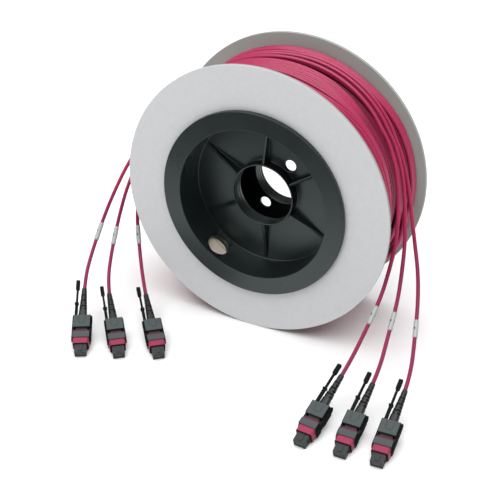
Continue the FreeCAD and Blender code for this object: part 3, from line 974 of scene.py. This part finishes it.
marks = {}
lips = {}
for end, place in places.items():
    bead = [place @ Vector((x, y, clip_top - mark_sunk)) for x, y in mark_bow]
    marks[end] = round_bar(end + "_finger_mark", bead, mark_bar, clips[end])
    mesh = bmesh.new()
    add_band(mesh, place, bar_front, bar_back)
    add_band(mesh, place, block_front, block_lip_back)
    lips[end] = from_faces(end + "_clip_lips", mesh, clips[end])
    rounded = lips[end].modifiers.new("moulded edges", "BEVEL")
    rounded.width = lip_rounding
    rounded.segments = 2
    for piece in (marks[end], lips[end]):
        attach(piece, end + "_coupling")

# Ferrule springs: oval coils of round steel wire, each between its fibre block and its back post.
# They push the blocks forward.
spring_front = 0.01345
spring_back = 0.01955
spring_wire = 0.00025
spring_half_width = 0.00305
spring_half_height = 0.00145
spring_turns = 4.0
points_per_coil = 32.0
spring_steel, _, spring_shader, _ = grained(
    "spring wire", (0.5, 0.5, 0.5), (0.6, 0.6, 0.6), 0.3, 3000, 0.00001)
spring_shader.inputs["Metallic"].default_value = 1.0


def coil_spring_tree():
    """Node tree that bends a round wire into an oval coil along X."""
    sizes = {"Turns": 4.0, "Front": 0.0, "Back": 0.01, "Half width": 0.003, "Half height": 0.0015,
             "Wire radius": 0.00025}
    tree, given, outside = new_tree("coil spring", "Steel", {}, sizes)
    along = add_node(tree, "GeometryNodeSplineParameter").outputs["Factor"]
    angle = reckon(tree, "MULTIPLY", reckon(tree, "MULTIPLY", along, given["Turns"]), math.tau)
    length = reckon(tree, "SUBTRACT", given["Back"], given["Front"])
    station = reckon(tree, "MULTIPLY_ADD", along, length, given["Front"])
    x = reckon(tree, "MULTIPLY", station, -1.0)
    y = reckon(tree, "MULTIPLY", given["Half width"], reckon(tree, "COSINE", angle))
    z = reckon(tree, "MULTIPLY", given["Half height"], reckon(tree, "SINE", angle))
    points = reckon(tree, "MULTIPLY", given["Turns"], points_per_coil)
    coil = bent_bar(tree, points, place_at(tree, x, y, z), given["Wire radius"])
    finish_tree(tree, coil, given["Steel"], outside)
    return tree


coil_spring = coil_spring_tree()
springs = {}
for end, place in places.items():
    springs[end] = from_tree(
        end + "_spring", coil_spring, Turns=spring_turns, Front=spring_front, Back=spring_back,
        Half_width=spring_half_width, Half_height=spring_half_height, Wire_radius=spring_wire,
        Steel=spring_steel)
    springs[end].data.transform(place)
    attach(springs[end], "spool")
    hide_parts(end + "_ferrule_spring")
    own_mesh(springs[end])

# Fibre ends: twelve glass fibres glued side by side in each fibre block.
# They are cut off at its face and polished with it.
ferrule_face = 0.0003
fibre_count = 12
fibre_pitch = 0.00025
fibre_radius = 0.00006
fibre_end_length = 0.0001
fibre_glass, *_ = grained(
    "polished fibre", (0.45, 0.47, 0.50), (0.60, 0.62, 0.65), 0.12, 20000, 0.000002)


def fibre_ends_tree():
    """Node tree that sets a row of fine polished fibre ends across a face."""
    sizes = {"Pitch": 0.00025, "Fibre radius": 0.00006, "Length": 0.0002, "Front": 0.0003}
    tree, given, outside = new_tree("fibre ends", "Glass", {"Fibres": 12}, sizes)
    fibre = add_node(tree, "GeometryNodeMeshCylinder")
    fibre.inputs["Vertices"].default_value = 12
    wire(tree, given["Fibre radius"], fibre.inputs["Radius"])
    wire(tree, given["Length"], fibre.inputs["Depth"])
    lying = add_node(tree, "GeometryNodeTransform")
    lying.inputs["Rotation"].default_value = (0, math.pi / 2, 0)
    wire(tree, fibre.outputs["Mesh"], lying.inputs["Geometry"])
    gaps = reckon(tree, "SUBTRACT", given["Fibres"], 1.0)
    half_row = reckon(tree, "MULTIPLY", reckon(tree, "MULTIPLY", gaps, given["Pitch"]), -0.5)
    first = place_at(tree, reckon(tree, "MULTIPLY", given["Front"], -1.0), half_row)
    onward = place_at(tree, y=given["Pitch"])
    row = in_a_row(tree, given["Fibres"], first, onward, lying.outputs["Geometry"])
    finish_tree(tree, row, given["Glass"], outside)
    return tree


fibre_ends = fibre_ends_tree()
fibres = {}
for end, place in places.items():
    fibres[end] = from_tree(
        end + "_fibre_ends", fibre_ends, Fibres=fibre_count, Pitch=fibre_pitch, Fibre_radius=fibre_radius,
        Length=fibre_end_length, Front=ferrule_face, Glass=fibre_glass)
    fibres[end].data.transform(place)
    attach(fibres[end], end + "_fibre_block")

# Free cables: each leg hangs as one cord from the winding. The pieces on it, its sleeve, boot, clip lips,
# finger mark, spring, fibre ends and plug parts, are gathered in a list that nothing uses.
plug_nodes = ("back_post", "plug_housing", "ferrule", "coupling_sleeve", "pull_clip")
for end, cable in cables.items():
    on_cable = [pieces[end] for pieces in (sleeves, boots, marks, lips, springs, fibres)]
    on_cable += [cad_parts[f"{end}_{piece}"] for piece in plug_nodes]

# Studio: pale floor and white backdrop, one wide soft light overhead and a weak one in front,
# and the camera at the picture's angle. A black card on the floor in front, seen only in reflections,
# gives the glossy cores their darker tops.
floor_reach = 6.0
card_half_width = 1.5
card_far = -1.6
card_near = -0.27
card_height = 0.002


def studio_sheet(name, half_width, front, back, height, finish, tone, roughness, gloss):
    """Flat sheet of the studio in one plain grey, which is no part of the object."""
    sheet = put_in_scene(name, bpy.data.meshes.new(name))
    corners = [(-half_width, front, height), (half_width, front, height),
               (half_width, back, height), (-half_width, back, height)]
    sheet.data.from_pydata(corners, [], [(0, 1, 2, 3)])
    material, _, shader = new_material(finish)
    shader.inputs["Base Color"].default_value = (tone, tone, tone, 1)
    shader.inputs["Roughness"].default_value = roughness
    shader.inputs["Specular IOR Level"].default_value = gloss
    sheet.data.materials.append(material)
    return sheet


floor = studio_sheet("floor", floor_reach, -floor_reach, floor_reach, 0, "pale floor", 0.84, 0.9, 0.0)
card = studio_sheet(
    "dark_card", card_half_width, card_far, card_near, card_height, "black studio card", 0.02, 1.0, 0.5)
card.visible_camera = False
card.visible_diffuse = False
card.visible_shadow = False

world = bpy.data.worlds.new("studio")
world.use_nodes = True
sky = world.node_tree
dim_room = sky.nodes["Background"]
dim_room.inputs["Color"].default_value = (1, 1, 1, 1)
dim_room.inputs["Strength"].default_value = 0.16
white_backdrop = add_node(sky, "ShaderNodeBackground")
white_backdrop.inputs["Color"].default_value = (1, 1, 1, 1)
path = add_node(sky, "ShaderNodeLightPath")
either = add_node(sky, "ShaderNodeMixShader")
wire(sky, path.outputs["Is Camera Ray"], either.inputs["Fac"])
wire(sky, dim_room.outputs[0], either.inputs[1])
wire(sky, white_backdrop.outputs[0], either.inputs[2])
wire(sky, either.outputs[0], sky.nodes["World Output"].inputs["Surface"])
bpy.context.scene.world = world
bpy.context.scene.view_settings.view_transform = "Standard"


def soft_light(name, kind, place, target, power):
    """Lamp at a place, turned to a target."""
    light = bpy.data.lights.new(name, kind)
    light.energy = power
    lamp = put_in_scene(name, light)
    lamp.location = place
    lamp.rotation_euler = (Vector(target) - Vector(place)).to_track_quat("-Z", "Y").to_euler()
    return light


overhead = soft_light("top_light", "SUN", (0.05, -0.25, 1.6), (0, 0, 0), 4.4)
overhead.angle = math.radians(75)
in_front = soft_light("front_light", "AREA", (-0.6, -1.55, 0.5), (0, 0, 0.07), 4.4)
in_front.shape = "SQUARE"
in_front.size = 0.7

camera = bpy.data.cameras.new("camera")
camera.sensor_width = 36
camera.lens = 76.97
viewer = put_in_scene("camera", camera)
viewer.location = (0.3213, -0.6838, 0.4897)
viewer.rotation_euler = Euler((math.radians(59.69), 0, math.radians(26.74)))
bpy.context.scene.camera = viewer
